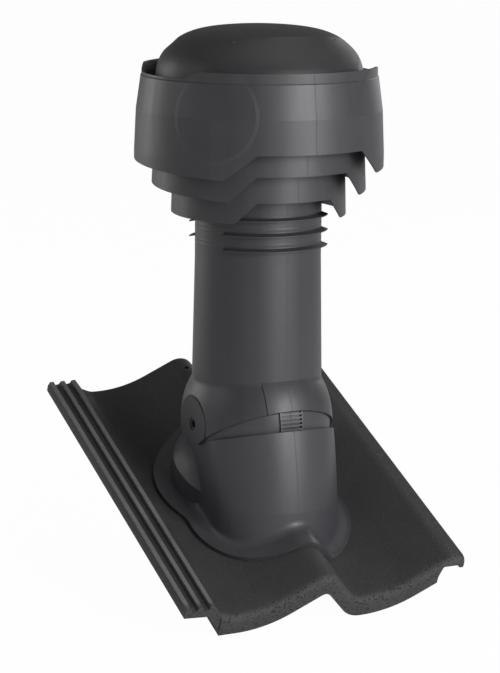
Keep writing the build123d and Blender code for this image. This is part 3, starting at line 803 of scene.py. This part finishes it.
@dataclass
class Studio:
    """The floor, the soft lamps and the camera of the photograph.

    The camera's focal length and the picture's height are in pixels, its angles in degrees, and its sensor
    and its place from the middle of the tilt axis in mm. The floor and the lamps are in metres.
    """

    focal_pixels: float = 2400.0
    picture_height: float = 673.0
    sensor: float = 36.0
    azimuth: float = -26.194
    elevation: float = 11.257
    roll: float = 0.53
    camera_place: Triple = (-1156.4, -2333.0, 610.0)
    floor_reach: float = 12.0
    floor_shine: float = 0.3
    floor_glow: float = 0.98
    world_strength: float = 0.19
    lamp_aim: Triple = (0.0, -0.18, 0.1)
    lamps: tuple[SoftLamp, ...] = (
        SoftLamp("lamp_front_right", (0.70, -2.32, 0.80), 1.1, 52.0),
        SoftLamp("lamp_left", (-2.3, 0.35, 1.1), 1.0, 6.0),
        SoftLamp("lamp_top", (0.6, -0.4, 2.6), 1.6, 8.0),
        SoftLamp("lamp_back_right", (2.3, 1.3, 0.8), 1.2, 10.0),
        SoftLamp("lamp_back_left", (-1.6, 2.1, 0.6), 1.2, 14.0),
    )

    def camera(self) -> None:
        """Makes the camera from the bearing, height and roll that fit the photograph.

        Unrolled, its three axes are the way back to it from the object, the level way to its right and the
        way up, which is square to both. The roll turns the last two about the first.
        """
        azimuth, elevation, roll = np.radians((self.azimuth, self.elevation, self.roll)).tolist()
        level_back = Vector((math.sin(azimuth), -math.cos(azimuth), 0.0))
        back = level_back * math.cos(elevation) + Vector((0.0, 0.0, math.sin(elevation)))
        level_right = Vector((math.cos(azimuth), math.sin(azimuth), 0.0))
        level_up = back.cross(level_right)
        right = level_right * math.cos(roll) + level_up * math.sin(roll)
        up = level_up * math.cos(roll) - level_right * math.sin(roll)
        data = bpy.data.cameras.new("camera")
        data.sensor_width = self.sensor
        data.lens = self.focal_pixels / self.picture_height * self.sensor
        data.clip_start, data.clip_end = 0.05, 50.0
        holder = bpy.data.objects.new("camera", data)
        place = Vector((PIVOT + np.array(self.camera_place)) * MM)
        holder.matrix_world = Matrix.Translation(place) @ Matrix((right, up, back)).transposed().to_4x4()
        bpy.context.scene.collection.objects.link(holder)
        bpy.context.scene.camera = holder
        bpy.context.scene.view_settings.view_transform = "Standard"

    def floor(self, low: float) -> None:
        """Makes the floor, which stands as the backdrop that the camera sees as white.

        Args:
            low: The height of the object's lowest point, in metres.
        """
        reach = self.floor_reach
        corners = [(x * reach, y * reach, low) for x, y in ((-1, -1), (1, -1), (1, 1), (-1, 1))]
        mesh = bpy.data.meshes.new("floor")
        mesh.from_pydata(corners, [], [(0, 1, 2, 3)])
        mesh.materials.append(self.floor_paint())
        board = bpy.data.objects.new("floor", mesh)
        bpy.context.scene.collection.objects.link(board)
        board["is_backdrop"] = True

    def floor_paint(self) -> bpy.types.Material:
        """Builds the floor's paint, matte to the light and glowing white to the camera.

        Returns:
            The material.
        """
        paint = bpy.data.materials.new("floor_pale")
        sheet = empty_sheet(paint)
        rays = sheet.add("ShaderNodeLightPath")
        mirrored = sheet.maths("MULTIPLY", rays.outputs["Is Glossy Ray"], self.floor_shine)
        seen = sheet.maths("MAXIMUM", rays.outputs["Is Camera Ray"], mirrored)
        matte = sheet.add("ShaderNodeBsdfDiffuse")
        matte.inputs["Color"].default_value = PALE
        glow = sheet.add("ShaderNodeEmission")
        glow.inputs["Color"].default_value = WHITE
        glowing = sheet.maths("MULTIPLY", seen, self.floor_glow)
        share = sheet.add("ShaderNodeMixShader")
        for target, source in zip(share.inputs, (glowing, matte.outputs[0], glow.outputs[0])):
            sheet.link(source, target)
        end = sheet.add("ShaderNodeOutputMaterial")
        sheet.link(share.outputs[0], end.inputs["Surface"])
        return paint

    def world(self) -> None:
        """Makes the pale surroundings, white to the camera."""
        world = bpy.data.worlds.new("studio")
        bpy.context.scene.world = world
        sheet = empty_sheet(world)
        seen = sheet.add("ShaderNodeLightPath").outputs["Is Camera Ray"]
        ground = sheet.add("ShaderNodeBackground")
        ground.inputs["Color"].default_value = WHITE
        level = sheet.maths("MULTIPLY_ADD", seen, 1.0 - self.world_strength, self.world_strength)
        sheet.link(level, ground.inputs["Strength"])
        end = sheet.add("ShaderNodeOutputWorld")
        sheet.link(ground.outputs[0], end.inputs["Surface"])

    def build(self, low: float) -> None:
        """Builds the whole studio.

        Args:
            low: The height of the object's lowest point, in metres.
        """
        self.camera()
        self.floor(low)
        self.world()
        for lamp in self.lamps:
            lamp.build(self.lamp_aim)
        LOG.info("studio ready")


@dataclass
class TileCovering:
    """The roof tile and the seal that lies between it and the base."""

    concrete: RoofConcrete = RoofConcrete()
    rubber: SoftFill = SoftFill("seal_rubber", (0.01, 0.01, 0.01), (0.022, 0.022, 0.022), 900.0, 0.0001, 0.7)

    def build(self, groups: Groups) -> None:
        """Dresses the pieces.

        Args:
            groups: The shared groups.
        """
        dress("roof_tile", self.concrete.material(groups))
        dress("flange_seal", self.rubber.material())


@dataclass
class BaseAndPipe:
    """The base moulding, the pipe above it, their pins, and the duct inside."""

    # the base's ladder pad gets painted shade in its grooves
    base: MouldedPlastic = MouldedPlastic("base_plastic", (0.044, 0.043, 0.049), seam=0.00012, grooves=True)
    pipe: MouldedPlastic = MouldedPlastic("pipe_plastic", (0.036, 0.035, 0.040), seam=0.0001, streak=0.09)
    pins: MouldedPlastic = MouldedPlastic("pin_plastic", (0.034, 0.034, 0.037), roughness=0.34)
    duct: MouldedPlastic = MouldedPlastic("duct_plastic", (0.30, 0.31, 0.32), roughness=0.45)
    foam: SoftFill = SoftFill("insulation_foam", (0.10, 0.10, 0.105), (0.22, 0.22, 0.225), 500.0, 0.0006, 0.9)

    def build(self, groups: Groups) -> None:
        """Dresses the pieces.

        Args:
            groups: The shared groups.
        """
        dress("base_cone", self.base.material(groups))
        dress("outer_pipe", self.pipe.material(groups))
        pins = self.pins.material(groups)
        for side in Side:
            dress(f"pivot_bush_{side.value}", pins)
        duct = self.duct.material(groups)
        for name in ("inner_duct", "lower_ring", "upper_ring"):
            dress(name, duct)
        dress("insulation", self.foam.material())


@dataclass
class HoodAndDome:
    """The three hood rings, what carries them, and the dome with its screws."""

    outer: MouldedPlastic = MouldedPlastic(
        "hood_plastic", (0.038, 0.037, 0.042), seam=0.00012, streak=0.10, relief=HoodRelief()
    )
    rings: MouldedPlastic = MouldedPlastic("ring_plastic", (0.036, 0.035, 0.040), seam=0.00012)
    dome: MouldedPlastic = MouldedPlastic(
        "dome_plastic", (0.028, 0.028, 0.030), roughness=0.48, streak=0.02, specular=0.4
    )
    steel: ZincSteel = ZincSteel()

    def build(self, groups: Groups) -> None:
        """Dresses the pieces.

        Args:
            groups: The shared groups.
        """
        dress("hood_outer_ring", self.outer.material(groups))
        rings = self.rings.material(groups)
        for name in ("hood_inner_ring", "hood_middle_ring", "hood_carrier"):
            dress(name, rings)
        dress("dome_cap", self.dome.material(groups))
        steel = self.steel.material()
        for corner in Corner:
            dress(f"dome_screw_{corner.value}", steel)


def main() -> None:
    """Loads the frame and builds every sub-assembly."""
    logging.basicConfig(level=logging.INFO, format="%(name)s: %(message)s")
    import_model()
    cad_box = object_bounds()
    groups = Groups()
    for part in (TileCovering(), BaseAndPipe(), HoodAndDome()):
        part.build(groups)
        LOG.info("%s ready", type(part).__name__)
    Studio().build(cad_box[0].z)


if __name__ == "__main__":
    main()
